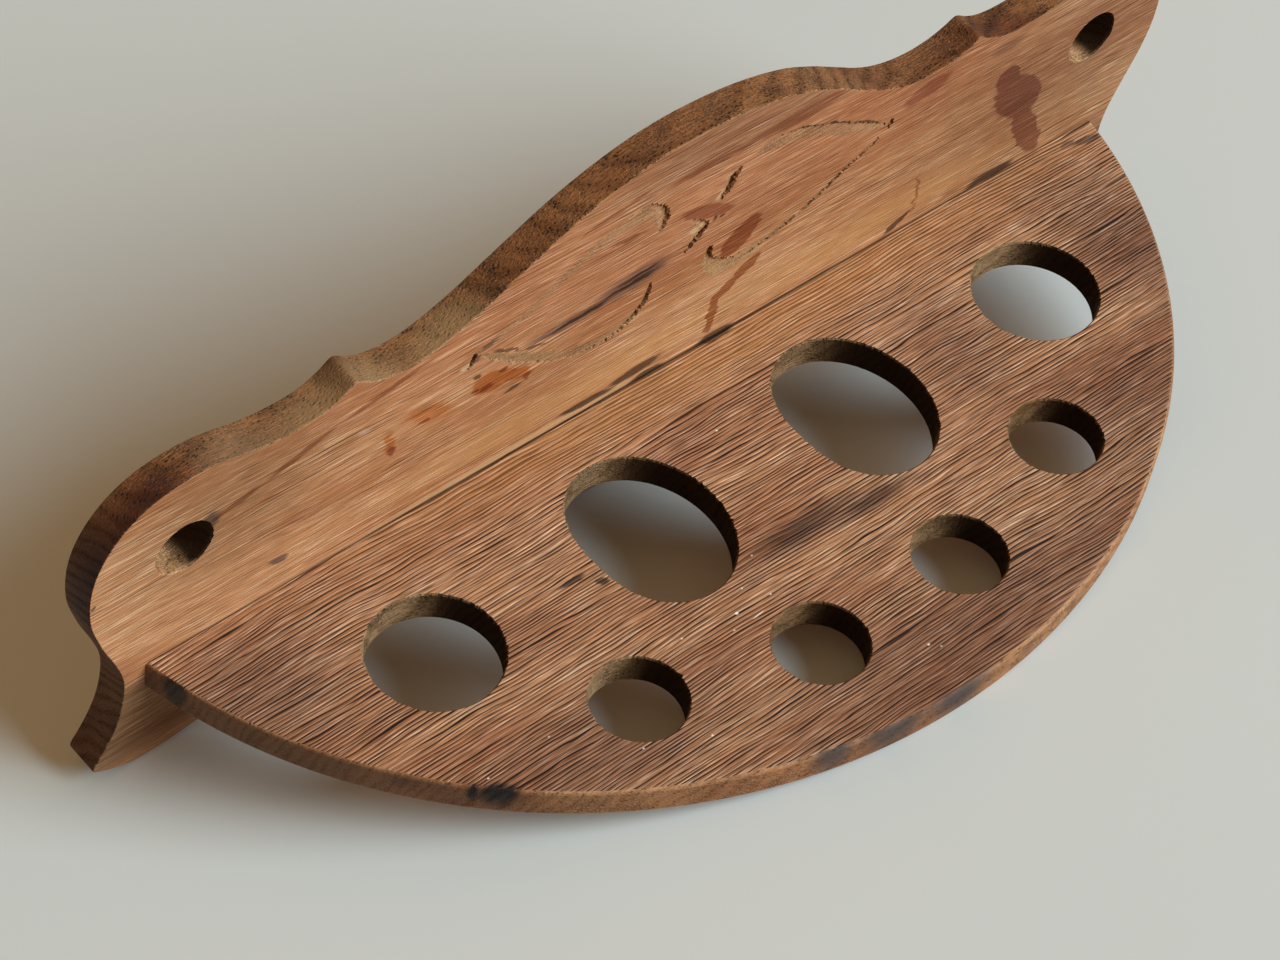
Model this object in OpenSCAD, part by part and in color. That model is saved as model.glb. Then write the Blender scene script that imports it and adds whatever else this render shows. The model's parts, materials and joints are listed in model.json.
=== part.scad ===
// Wall-hung spoon rack: a scalloped back board that carries a D-shaped shelf with holes for spoons.
// The origin is midway between the two hanging holes, on the back board's wall face.
// +X runs along the rack, +Z is up, and the shelf stands out towards -Y.

/* [Back board] */
// Thickness of the back board
board_t = 10; // [7:0.5:18]
// Overall length across the two end lobes
board_len = 360; // [340:1:400]
// Height of the centre hump above the line of the hanging holes
hump_h = 50.5; // [40:0.5:65]
// Height of the low stretches of the top edge above that line
hollow_h = 21; // [16:0.5:24]
// Distance from the middle to the low point beside the hump
hollow_x = 86; // [78:0.5:92]
// Distance from that low point out to the sharp peak between hump and lobe
peak_run = 17.5; // [12:0.5:22]
// Height of that peak above the low stretches
peak_rise = 6.5; // [3:0.5:10]
// Distance from the peak out to the low point beside the lobe
dip_run = 16; // [10:0.5:20]
// Distance from the end of the board in to the top of its lobe
lobe_inset = 29; // [22:0.5:36]
// Rise of each end lobe above the low stretches
lobe_rise = 4.5; // [2:0.5:10]
// Depth of the widest point of each lobe below the line of the hanging holes
lobe_drop = 3.5; // [0:0.5:10]
// How much higher the hand-sawn top edge runs beside the hump on the right than on the left
right_lift = 1.8; // [0:0.1:3]

/* [Waist and feet] */
// How much narrower the board is at each waist than at the lobe
waist_inset = 10.8; // [4:0.2:16]
// Depth of the waist below the shelf's top face
waist_drop = 6; // [2:0.5:12]
// How far each foot's tip stays inside the end of the lobe
foot_inset = 1.2; // [0:0.2:6]
// Depth of the foot's tip below the shelf's top face
tip_drop = 33; // [28:0.5:38]
// Depth of the bottom edge at the feet and at the middle, below the shelf's top face
foot_drop = 39; // [36:0.5:50]
// Distance from the foot's tip in to its lowest point
foot_reach = 16.5; // [12:0.5:24]
// Rise of the two arches in the bottom edge
arch_rise = 15; // [6:0.5:20]
// Distance from the middle to the top of each arch
arch_x = 86; // [70:0.5:100]

/* [Hanging holes] */
// Diameter of each hanging hole
hang_d = 16; // [6:0.5:20]
// Distance from the end of the board in to the centre of its hanging hole
hang_inset = 27.5; // [20:0.5:34]

/* [Shelf] */
// Thickness of the shelf
shelf_t = 9.5; // [8:0.5:14]
// Distance from the board's waist in to the end of the shelf
shelf_inset = 6.2; // [2:0.2:16]
// Depth of the shelf from the back board's face to its front
shelf_depth = 123; // [115:1:150]
// How far behind the back board's face the front curve is centred
curve_setback = 30; // [10:1:60]
// Drop of the shelf's top face below the line of the hanging holes
shelf_drop = 37.5; // [32:0.5:48]

/* [Spoon holes] */
// Width of each of the two oval holes, along the rack
oval_w = 40.2; // [30:0.2:46]
// Length of each oval hole, front to back
oval_l = 48.6; // [36:0.2:52]
// Width of the wood between the two oval holes
oval_web = 30.6; // [20:0.2:40]
// Distance from the back board's face to the centres of the oval holes
oval_setback = 39.6; // [36:0.2:44]
// Diameter of the round hole at each end of the back row
round_d = 35; // [25:0.5:38]
// Distance from the back board's face to the centres of those round holes
round_setback = 38; // [30:0.5:44]
// Distance from the shelf's curved edge, along the rack, to the centres of those round holes
round_inset = 45; // [36:0.5:52]
// Number of holes in the front row
small_count = 4; // [2:1:4]
// Diameter of the holes of the front row
small_d = 25; // [16:0.5:28]
// Spacing of the front row along the rack
small_pitch = 48.2; // [40:0.2:56]
// Distance from the shelf's curved edge, front to back, to the centres of the front row
small_setback = 29.7; // [22:0.1:31]

/* [Shelf screws] */
// Diameter of the screw shank
screw_d = 3.5; // [2.5:0.1:4.5]
// Diameter of the countersunk screw head
screw_head_d = 7; // [6:0.1:8.5]
// Overall length of each screw
screw_len = 30; // [24:1:36]
// Length of the screw's point
screw_point = 4; // [2:0.5:6]
// Distance from the end of the shelf in to each outer screw
screw_inset = 25; // [18:0.5:32]
// How far the screw heads sit below the wall face
screw_sink = 0.4; // [0.2:0.1:1]
// Width of the blades of the cross recess in the screw head
recess_w = 0.9; // [0.6:0.1:1.2]
// Length of those blades, from tip to tip
recess_l = 3; // [2:0.1:3.2]
// Depth of the cross recess
recess_h = 1.5; // [0.8:0.1:2]
// Clearance between the screws and their holes
screw_clear = 0.1; // [0.05:0.05:0.2]

/* [Hidden] */
$fn = 96;
// Straight stretches that stand for one curve of an outline
curve_steps = 18;
// Straight stretches that stand for the shelf's curved edge
edge_steps = 72;
// Straight stretches round an oval hole
oval_steps = 64;
// How far a cutting shape runs past the face that it opens
past = 1;

// How each stretch of the outline leaves its start and reaches its end: shares of the step between the
// two, along the rack and up
hump_to_left = [[0.46, 0], [0.24, 0]];
hump_to_right = [[0.63, 0], [0.32, 0]];
hollow_to_peak = [[0.5, 0], [0.23, 0.55]];
peak_to_dip = [[0.25, 0.55], [0.5, 0]];
dip_to_lobe = [[0.5, 0], [0.45, 0]];
lobe_to_side = [[0.6, 0], [0, 0.55]];
side_to_waist = [[0, 0.42], [0, 0.3]];
waist_to_tip = [[0, 0.5], [0.44, 0.22]];
tip_to_foot = [[0.24, 0.57], [0.4, 0]];
foot_to_arch = [[0.4, 0], [0.45, 0]];
arch_to_middle = [[0.45, 0], [0.5, 0]];

// Half lengths and heights of the back board's outline
end_x = board_len / 2;
waist_x = end_x - waist_inset;
tip_x = end_x - foot_inset;
foot_x = tip_x - foot_reach;
peak_x = hollow_x + peak_run;
dip_x = peak_x + dip_run;
lobe_x = end_x - lobe_inset;
waist_z = -shelf_drop - waist_drop;
tip_z = -shelf_drop - tip_drop;
foot_z = -shelf_drop - foot_drop;
peak_h = hollow_h + peak_rise;
lobe_h = hollow_h + lobe_rise;
hang_x = end_x - hang_inset;

// Length of the shelf where it meets the back board
shelf_len = 2 * (waist_x - shelf_inset);

// Half axes of the ellipse that the shelf's front edge follows
curve_b = shelf_depth + curve_setback;
curve_a = shelf_len / 2 / sqrt(1 - pow(curve_setback / curve_b, 2));
curve_end = asin(curve_setback / curve_b);

// Places of the screws along the shelf
screw_xs = [-shelf_len / 2 + screw_inset, 0, shelf_len / 2 - screw_inset];
screw_z = -shelf_drop - shelf_t / 2;
screw_head_h = (screw_head_d - screw_d) / 2;

// Points along a cubic curve from a to d that leaves towards b and arrives from c, without its last point
function curve(a, b, c, d) = [
    for (i = [0 : curve_steps - 1])
        let (t = i / curve_steps, s = 1 - t)
            s * s * s * a + 3 * s * s * t * b + 3 * s * t * t * c + t * t * t * d
];

// A curve between two points of the outline whose handles are shares of the step between them
function stretch(a, d, shares) =
    let (
        step = d - a,
        leave = [shares[0].x * step.x, shares[0].y * step.y],
        arrive = [shares[1].x * step.x, shares[1].y * step.y]
    )
        curve(a, a + leave, d - arrive, d);

// The right half of the back board's outline, from the top of the hump round to the middle of the bottom
// edge: the flank shapes the hump's side, and the lift raises the low stretches
function half_outline(flank, lift) =
    let (
        hump = [0, hump_h],
        hollow = [hollow_x, hollow_h + lift],
        peak = [peak_x, peak_h],
        dip = [dip_x, hollow_h + lift / 2],
        lobe_top = [lobe_x, lobe_h],
        lobe_side = [end_x, -lobe_drop],
        waist = [waist_x, waist_z],
        tip = [tip_x, tip_z],
        foot = [foot_x, foot_z],
        arch = [arch_x, foot_z + arch_rise],
        middle = [0, foot_z]
    )
        concat(
            stretch(hump, hollow, flank),
            stretch(hollow, peak, hollow_to_peak),
            stretch(peak, dip, peak_to_dip),
            stretch(dip, lobe_top, dip_to_lobe),
            stretch(lobe_top, lobe_side, lobe_to_side),
            stretch(lobe_side, waist, side_to_waist),
            stretch(waist, tip, waist_to_tip),
            stretch(tip, foot, tip_to_foot),
            stretch(foot, arch, foot_to_arch),
            stretch(arch, middle, arch_to_middle),
            [middle]
        );

// Copies its children to the other side of the rack's middle too
module both_sides() {
    children();
    mirror([1, 0, 0]) children();
}

// A round hole of diameter d that runs along -Y from the wall face to the given depth
module wall_bore(d, depth) {
    rotate([90, 0, 0]) translate([0, 0, -past]) cylinder(d = d, h = depth + past);
}

module board_blank() {
    right = half_outline(hump_to_right, right_lift);
    left = half_outline(hump_to_left, 0);
    left_back = [for (i = [len(left) - 2 : -1 : 1]) [-left[i].x, left[i].y]];
    rotate([90, 0, 0]) linear_extrude(height = board_t) polygon(concat(right, left_back));
}

// Half profile of a screw below the rim of its head, grown all round by a clearance
function screw_profile(grow) = [
    [screw_head_d / 2 + grow, 0],
    [screw_d / 2 + grow, screw_head_h],
    [screw_d / 2 + grow, screw_len - screw_point],
    [0, screw_len + grow]
];

// Places its children, drawn along +Z from the face of a screw's head, at each screw, to run along -Y
module at_screws() {
    for (x = screw_xs) translate([x, -screw_sink, screw_z]) rotate([90, 0, 0]) children();
}

// The countersunk holes for the screws, through the back board and into the shelf
module screw_holes() {
    mouth_z = -screw_sink - past;
    mouth = [[0, mouth_z], [screw_head_d / 2 + screw_clear, mouth_z]];
    at_screws() rotate_extrude() polygon(concat(mouth, screw_profile(screw_clear)));
}

module back_board() {
    color("#b9835a") difference() {
        board_blank();
        both_sides() translate([hang_x, 0, 0]) wall_bore(hang_d, board_t + past);
        screw_holes();
    }
}

// Place of the shelf's curved edge: its depth at x along the rack, and its half length at depth y
function edge_y(x) = -board_t + curve_setback - curve_b * sqrt(1 - pow(x / curve_a, 2));
function edge_x(y) = curve_a * sqrt(1 - pow((y + board_t - curve_setback) / curve_b, 2));

module shelf_outline() {
    polygon([
        for (i = [0 : edge_steps])
            let (t = 180 + curve_end + i * (180 - 2 * curve_end) / edge_steps)
                [curve_a * cos(t), -board_t + curve_setback + curve_b * sin(t)]
    ]);
}

module oval() {
    polygon([
        for (i = [0 : oval_steps - 1])
            let (t = 360 * i / oval_steps)
                [oval_w / 2 * cos(t), oval_l / 2 * sin(t)]
    ]);
}

// Each of these three places its children at the centres of the spoon holes of one kind
module at_ovals() {
    both_sides() translate([(oval_w + oval_web) / 2, -board_t - oval_setback]) children();
}

module at_rounds() {
    y = -board_t - round_setback;
    both_sides() translate([edge_x(y) - round_inset, y]) children();
}

module at_smalls() {
    for (i = [0 : small_count - 1]) {
        x = (i - (small_count - 1) / 2) * small_pitch;
        translate([x, edge_y(x) + small_setback]) children();
    }
}

module shelf() {
    color("#996a4c") difference() {
        translate([0, 0, -shelf_drop - shelf_t]) {
            difference() {
                linear_extrude(height = shelf_t) shelf_outline();
                translate([0, 0, -past]) {
                    at_ovals() linear_extrude(height = shelf_t + 2 * past) oval();
                    at_rounds() cylinder(d = round_d, h = shelf_t + 2 * past);
                    at_smalls() cylinder(d = small_d, h = shelf_t + 2 * past);
                }
            }
        }
        screw_holes();
    }
}

module shelf_screws() {
    color("#b9b4a6") at_screws() difference() {
        rotate_extrude() polygon(concat([[0, 0]], screw_profile(0)));
        for (turn = [0, 90]) rotate(turn) translate([-recess_l / 2, -recess_w / 2, -past])
            cube([recess_l, recess_w, past + recess_h]);
    }
}

back_board();
shelf();
shelf_screws();
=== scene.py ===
"""Looks of a wall-hung spoon rack: two oak boards with carved hearts, spoon holes and old stains."""

import json
import logging
import math
from dataclasses import dataclass, replace
from enum import Enum, IntEnum
from typing import Iterable, Sequence

import bmesh
import bpy
from mathutils import Matrix, Vector, noise
from mathutils.geometry import interpolate_bezier

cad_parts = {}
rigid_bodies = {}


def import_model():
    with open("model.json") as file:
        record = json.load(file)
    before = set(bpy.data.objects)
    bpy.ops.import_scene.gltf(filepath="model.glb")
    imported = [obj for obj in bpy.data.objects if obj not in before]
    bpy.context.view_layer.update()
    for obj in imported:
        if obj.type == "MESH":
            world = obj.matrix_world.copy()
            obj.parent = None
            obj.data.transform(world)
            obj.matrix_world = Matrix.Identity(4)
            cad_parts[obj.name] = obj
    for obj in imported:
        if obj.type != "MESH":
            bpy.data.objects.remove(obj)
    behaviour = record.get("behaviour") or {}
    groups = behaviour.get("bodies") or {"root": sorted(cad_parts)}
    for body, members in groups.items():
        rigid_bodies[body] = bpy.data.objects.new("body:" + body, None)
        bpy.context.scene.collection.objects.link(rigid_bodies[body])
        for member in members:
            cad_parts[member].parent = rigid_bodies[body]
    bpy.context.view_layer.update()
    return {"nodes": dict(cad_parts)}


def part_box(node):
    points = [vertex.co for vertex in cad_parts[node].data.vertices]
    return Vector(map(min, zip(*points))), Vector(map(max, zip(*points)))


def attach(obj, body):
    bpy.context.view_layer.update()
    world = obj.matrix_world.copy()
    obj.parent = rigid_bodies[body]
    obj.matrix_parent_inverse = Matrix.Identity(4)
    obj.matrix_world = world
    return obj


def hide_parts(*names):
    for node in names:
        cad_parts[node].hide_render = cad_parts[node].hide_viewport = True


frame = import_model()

log = logging.getLogger("spoon_rack")

MM = 0.001
Pair = tuple[float, float]
Triple = tuple[float, float, float]
Spot = tuple[float, float, float, float, float]
Socket = bpy.types.NodeSocket
Tree = bpy.types.NodeTree

# A mix of two colours, with the numbers of its colour sockets, and a ramp with soft ends.
UNDER = 6
OVER = 7
COLOUR_MIX = {"out": 2, "data_type": "RGBA"}
SMOOTH = {"interpolation_type": "SMOOTHSTEP"}

# Sizes of the wood's patterns in mm: along the grain, through the board and across the grain. Real fibres
# are some hundredths of a millimetre wide, so fibres, flecks and glints are drawn coarser, to show at all.
WAVER_SIZE = (60.0, 60.0, 30.0)
ZONE_SIZE = (110.0, 40.0, 24.0)
FLECK_SIZE = (12.0, 0.6, 0.38)
# The glints are painted highlights, where raised grain would catch the light.
GLINT_SIZE = (30.0, 2.0, 0.42)
FIBRE_SIZE = (6.0, 0.5, 0.45)
RAGGED_SIZE = (5.0, 3.0, 1.6)
STRAY_LENGTH = 14.0

# How far a stain's ragged rim reaches in mm, and how softly its ellipses run into one another.
RAGGED_REACH = (4.5, 1.2, 1.6)
MELT = 0.3

# How far groups of lines drift, in half gaps.
DRIFT = 7.0

# Counts per mm of the torn wood's crumbs, and of its pits and the patches that they gather in.
CRUMBS_PER_MM = 1.2
PITS_PER_MM = 2.4
PATCHES_PER_MM = 0.12


class Surface(IntEnum):
    """The kinds of surface on a board, which are also its material slots."""

    FACE = 0
    EDGE = 1
    BORE = 2
    RIM = 3
    CARVED = 4


class Lay(Enum):
    """How a board lies in the rack, by the axis that its thickness runs along."""

    UPRIGHT = "Y"
    FLAT = "Z"


class Cut(Enum):
    """How a surface was cut: along the grain, which shows lines, or across it, which shows rings."""

    ALONG = "along"
    ACROSS = "across"


class TornOrShaded(Enum):
    """Where a tool has torn the wood, or where shade is painted: on the walls that face away from the light,
    and deep in carved lines.
    """

    NOWHERE = ""
    END_GRAIN = "end grain"
    # Painted shade: darkens the walls that face -X, away from the light.
    SHADY_SIDE = "shady side"
    # Torn fibres on the steep walls of carved lines, with painted shade where the groove is deepest.
    STEEP = "steep wall"


def linear(code: str) -> tuple[float, float, float, float]:
    """Turns an sRGB colour into a linear one.

    Args:
        code: The colour as a hex value, such as "#b07a50".

    Returns:
        Linear red, green and blue, and an alpha of 1.
    """
    shares = [int(code[i : i + 2], 16) / 255 for i in (1, 3, 5)]
    values = [c / 12.92 if c <= 0.04045 else ((c + 0.055) / 1.055) ** 2.4 for c in shares]
    return (values[0], values[1], values[2], 1.0)


def add_node(
    tree: Tree, kind: str, inputs: dict | None = None, out: int | str = 0, **settings: object
) -> Socket | None:
    """Adds a node to a tree, with its settings and links.

    Args:
        tree: The node tree.
        kind: The node's type name, without the "ShaderNode" that each begins with.
        inputs: Input name or number to a value, or to the output socket that feeds it.
        out: The name or number of the output to give back.
        settings: The node's own properties.

    Returns:
        The output socket, or None for a node with no outputs.
    """
    node = tree.nodes.new("ShaderNode" + kind)
    for name, value in settings.items():
        setattr(node, name, value)
    for key, value in (inputs or {}).items():
        if isinstance(value, Socket):
            tree.links.new(value, node.inputs[key])
        else:
            node.inputs[key].default_value = value
    return node.outputs[out] if len(node.outputs) else None


def empty_material(name: str) -> tuple[bpy.types.Material, Tree]:
    """Makes a material with no nodes.

    Args:
        name: The material's name.

    Returns:
        The material, and its node tree.
    """
    material = bpy.data.materials.new(name)
    material.use_nodes = True
    material.node_tree.nodes.clear()
    return material, material.node_tree


@dataclass(frozen=True)
class Stain:
    """One kind of stain that sank into a board's face, or one kind of painted light and shade: ellipses that
    run into one another.

    Attributes:
        tint: The colour that tints the wood, or covers it.
        spots: For each ellipse in mm, its centre along the rack, and up or out from the joint of the boards,
            its half length and half width, and its turn from the grain in degrees.
        strength: How much of the tint shows.
        soft: The share of the radius over which it fades.
        depth: Its half depth below the face in mm.
        covers: Whether it lies over the wood as a film, rather than tinting it.
        ragged: Whether its rim is ragged.
    """

    tint: str
    spots: tuple[Spot, ...]
    strength: float = 0.9
    soft: float = 0.5
    depth: float = 3.0
    covers: bool = False
    ragged: bool = True


@dataclass(frozen=True)
class Tones:
    """The colours of a piece of oak, from its raised lines, whose colour also paints the glints' highlights,
    to its open pores, and its other zones' cast.
    """

    crest: str
    body: str
    hollow: str
    pore: str
    cast: str


@dataclass(frozen=True)
class Figure:
    """The lines of a piece of oak. Lengths are in mm, and shares run from 0 to 1.

    Attributes:
        gap: The distance from one hollow line, or one ring, to the next.
        length: The length of a hollow line, or of a ring's waver.
        cut: Whether the surface shows hollow lines, or rings.
        steps: Where hollow turns to body on the lines, and where body turns to crest on the flecks.
        breaks: How much the lines swell, thin and break off.
        stray: How far each line strays from its neighbours, in half gaps.
        glint: How much the thin bright lines show: painted highlights along the raised grain.
        fibre: How much the fine fibres differ from one another.
        pore_gap: The distance between pores.
        pore_length: The length of a pore.
        pores: How dark the pores are.
        wave: How far the lines waver.
        ridge: How far the ridges stand out of the relief.
    """

    gap: float
    length: float
    cut: Cut = Cut.ALONG
    steps: tuple[float, float, float, float] = (0.0, 0.7, 0.6, 0.8)
    breaks: float = 1.2
    stray: float = 1.6
    glint: float = 0.0
    fibre: float = 0.16
    pore_gap: float = 0.9
    pore_length: float = 8.0
    pores: float = 0.6
    wave: float = 2.0
    ridge: float = 1.0


@dataclass(frozen=True)
class OakFinish:
    """Open-grained reddish oak, as one kind of tool has left it.

    Lines of open pores run along the grain, dark in the hollows and pale on the ridges between them, and
    the same pores show as dots where the wood is cut across. Lengths are in mm.

    Attributes:
        relief: How far the ridges stand above the hollows.
        shine: How much the dry wood mirrors, as a share of the most that the shader gives.
        torn: Where the tool tore the wood, or where shade is painted, with the colour there and how much of
            it shows.
        torn_or_shaded_from: The shares of the surface's slant at which the tearing or the painted shade
            begins, and is whole.
        crumb_and_shade_depths: The depths of a carved line from which its torn wall begins to crumble and
            darken with painted shade, and all crumbles.
        speckle: How much of the surface's own small pits show.
        face_at: The place of the board's show face along its thickness.
        joint_at: The place of the joint, which the stains are measured from.
    """

    name: str
    lay: Lay
    tones: Tones
    figure: Figure
    relief: float
    roughness: float = 0.62
    shine: float = 0.25
    torn: TornOrShaded = TornOrShaded.NOWHERE
    torn_or_shaded_from: Pair = (0.3, 0.95)
    torn_or_shaded_colour: str = "#5a3c27"
    torn_or_shaded_share: float = 0.0
    crumb_and_shade_depths: Pair = (0.1, 1.0)
    speckle: float = 0.0
    face_at: float = 0.0
    joint_at: float = 0.0
    stains: tuple[Stain, ...] = ()

    def material(self) -> bpy.types.Material:
        """Builds the finish as a node material.

        Returns:
            The material.
        """
        material, tree = empty_material(self.name)
        place = add_node(tree, "TexCoord", out="Object")
        point = add_node(tree, "VectorMath", {0: place, 1: (1 / MM,) * 3}, operation="MULTIPLY")
        grain = self._wavering(tree, point)
        body, crest, ridge = self._lines(tree, grain)
        pore = self._pores(tree, grain, body)
        fibre = self._fibres(tree, grain)
        tones = self.tones
        inputs = {0: body, UNDER: linear(tones.hollow), OVER: linear(tones.body)}
        colour = add_node(tree, "Mix", inputs, **COLOUR_MIX)
        colour = add_node(tree, "Mix", {0: crest, UNDER: colour, OVER: linear(tones.crest)}, **COLOUR_MIX)
        colour = self._zones(tree, colour, point)
        uneven = self.figure.fibre
        shade = add_node(tree, "MapRange", {0: fibre, 1: 0.3, 2: 0.7, 3: 1 - uneven, 4: 1 + uneven})
        inputs = {0: 1.0, UNDER: colour, OVER: shade}
        colour = add_node(tree, "Mix", inputs, **COLOUR_MIX, blend_type="MULTIPLY")
        colour = add_node(tree, "Mix", {0: pore, UNDER: colour, OVER: linear(tones.pore)}, **COLOUR_MIX)
        colour = self._tearing_and_shading(tree, colour, point)
        colour = self._staining_and_painted_light(tree, colour, point)
        stands = self.figure.ridge
        height = add_node(tree, "Math", {0: ridge, 1: stands}, operation="MULTIPLY")
        for value, share in ((body, 0.3 * stands), (fibre, 0.5), (crest, 0.3), (pore, -0.6)):
            height = add_node(tree, "Math", {0: value, 1: share, 2: height}, operation="MULTIPLY_ADD")
        bump = add_node(tree, "Bump", {"Height": height, "Distance": self.relief * MM, "Strength": 1.0})
        hollow_roughness = min(1.0, self.roughness + 0.2)
        rough = add_node(tree, "MapRange", {0: body, 3: hollow_roughness, 4: self.roughness})
        inputs = {
            "Base Color": colour,
            "Roughness": rough,
            "Normal": bump,
            "Specular IOR Level": self.shine,
        }
        add_node(tree, "OutputMaterial", {"Surface": add_node(tree, "BsdfPrincipled", inputs)})
        return material

    def _spread(self, along: float, through: float, across: float) -> Triple:
        """Puts values along the grain, through the board and across the grain on the X, Y and Z axes."""
        return (along, through, across) if self.lay is Lay.UPRIGHT else (along, across, through)

    def _scale(self, size: Triple) -> Triple:
        """Turns a pattern's size, along, through and across the grain in mm, into its scale on the axes."""
        return self._spread(*[1 / length for length in size])

    def _wavering(self, tree: Tree, point: Socket) -> Socket:
        """Adds the slow waver of the grain.

        Args:
            tree: The material's node tree.
            point: The place in mm.

        Returns:
            The place in mm, shifted by the waver.
        """
        place = add_node(tree, "VectorMath", {0: point, 1: self._scale(WAVER_SIZE)}, operation="MULTIPLY")
        sway = add_node(tree, "TexNoise", {"Vector": place, "Scale": 1.0, "Detail": 2.0}, 1)
        reach = self._spread(0.0, self.figure.wave, 2 * self.figure.wave)
        back = tuple(-value / 2 for value in reach)
        shift = add_node(tree, "VectorMath", {0: sway, 1: reach, 2: back}, operation="MULTIPLY_ADD")
        return add_node(tree, "VectorMath", {0: point, 1: shift}, operation="ADD")

    def _lines(self, tree: Tree, grain: Socket) -> tuple[Socket, Socket, Socket]:
        """Adds the lines of the wood.

        Args:
            tree: The material's node tree.
            grain: The place in mm, with the grain's waver.

        Returns:
            Where the wood is out of the hollows, where it is pale or carries painted highlights, and how
            high the ridges stand.
        """
        figure = self.figure
        share = self._spread(0.5 / figure.length, 0.12 / figure.gap, 0.16 / figure.gap)
        place = add_node(tree, "VectorMath", {0: grain, 1: share}, operation="MULTIPLY")
        stray = add_node(tree, "TexNoise", {"Vector": place, "Scale": 1.0, "Detail": 2.0})
        rule = self._spread(0.0, 0.7 / figure.gap, 2 / figure.gap)
        phase = add_node(tree, "VectorMath", {0: grain, 1: rule}, "Value", operation="DOT_PRODUCT")
        phase = add_node(tree, "Math", {0: stray, 1: DRIFT, 2: phase}, operation="MULTIPLY_ADD")
        if figure.cut is Cut.ALONG:
            share = self._spread(1 / STRAY_LENGTH, 0.5 / figure.gap, 0.6 / figure.gap)
            place = add_node(tree, "VectorMath", {0: grain, 1: share}, operation="MULTIPLY")
            stray = add_node(tree, "TexNoise", {"Vector": place, "Scale": 1.0, "Detail": 1.0})
            inputs = {0: stray, 1: figure.stray, 2: phase}
            phase = add_node(tree, "Math", inputs, operation="MULTIPLY_ADD")
        line = add_node(tree, "Math", {0: phase, 1: 1.0}, operation="PINGPONG")
        share = self._spread(3 / figure.length, 0.4 / figure.gap, 0.6 / figure.gap)
        place = add_node(tree, "VectorMath", {0: grain, 1: share}, operation="MULTIPLY")
        gaps = add_node(tree, "TexNoise", {"Vector": place, "Scale": 1.0, "Detail": 2.0})
        gaps = add_node(tree, "MapRange", {0: gaps, 3: -0.5 * figure.breaks, 4: 0.5 * figure.breaks})
        line = add_node(tree, "Math", {0: line, 1: gaps}, operation="ADD")
        hollow, rise, start, top = figure.steps
        body = add_node(tree, "MapRange", {0: line, 1: hollow, 2: rise}, **SMOOTH)
        ridge = add_node(tree, "MapRange", {0: line, 1: hollow}, **SMOOTH)
        place = add_node(tree, "VectorMath", {0: grain, 1: self._scale(FLECK_SIZE)}, operation="MULTIPLY")
        fleck = add_node(tree, "TexNoise", {"Vector": place, "Scale": 1.0, "Detail": 1.0})
        crest = add_node(tree, "MapRange", {0: fleck, 1: start, 2: top}, **SMOOTH)
        crest = add_node(tree, "Math", {0: crest, 1: body}, operation="MULTIPLY")
        # Painted highlights: thin bright lines in the crest colour, where raised grain would catch the
        # light.
        if figure.glint:
            inputs = {0: grain, 1: self._scale(GLINT_SIZE)}
            place = add_node(tree, "VectorMath", inputs, operation="MULTIPLY")
            glint = add_node(tree, "TexNoise", {"Vector": place, "Scale": 1.0, "Detail": 1.0})
            inputs = {0: glint, 1: 0.57, 2: 0.7, 4: figure.glint}
            glint = add_node(tree, "MapRange", inputs, **SMOOTH)
            crest = add_node(tree, "Math", {0: crest, 1: glint}, operation="MAXIMUM")
        return body, crest, ridge

    def _fibres(self, tree: Tree, grain: Socket) -> Socket:
        """Adds the fine fibres, and returns their value."""
        place = add_node(tree, "VectorMath", {0: grain, 1: self._scale(FIBRE_SIZE)}, operation="MULTIPLY")
        return add_node(tree, "TexNoise", {"Vector": place, "Scale": 1.0, "Detail": 2.0})

    def _pores(self, tree: Tree, grain: Socket, body: Socket) -> Socket:
        """Adds the open pores, long thin cells along the grain, a little wider than real ones so as to show.

        Args:
            tree: The material's node tree.
            grain: The place in mm, with the grain's waver.
            body: Where the wood is out of the hollows, in which the pores are darkest.

        Returns:
            Where the pores are.
        """
        figure = self.figure
        share = self._spread(1 / figure.pore_length, 1 / figure.pore_gap, 1 / figure.pore_gap)
        place = add_node(tree, "VectorMath", {0: grain, 1: share}, operation="MULTIPLY")
        cell = add_node(tree, "TexVoronoi", {"Vector": place, "Scale": 1.0}, "Distance")
        early = add_node(tree, "MapRange", {0: body, 3: figure.pores, 4: 0.35 * figure.pores})
        inputs = {0: cell, 1: 0.16, 2: 0.38, 3: early, 4: 0.0}
        return add_node(tree, "MapRange", inputs, **SMOOTH)

    def _zones(self, tree: Tree, colour: Socket, point: Socket) -> Socket:
        """Gives whole zones of the board a cast.

        Args:
            tree: The material's node tree.
            colour: The colour so far.
            point: The place in mm.

        Returns:
            The colour.
        """
        place = add_node(tree, "VectorMath", {0: point, 1: self._scale(ZONE_SIZE)}, operation="MULTIPLY")
        zone = add_node(tree, "TexNoise", {"Vector": place, "Scale": 1.0, "Detail": 2.0})
        zone = add_node(tree, "MapRange", {0: zone, 1: 0.4, 2: 0.66}, **SMOOTH)
        inputs = {0: zone, UNDER: colour, OVER: linear(self.tones.cast)}
        return add_node(tree, "Mix", inputs, **COLOUR_MIX, blend_type="MULTIPLY")

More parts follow.
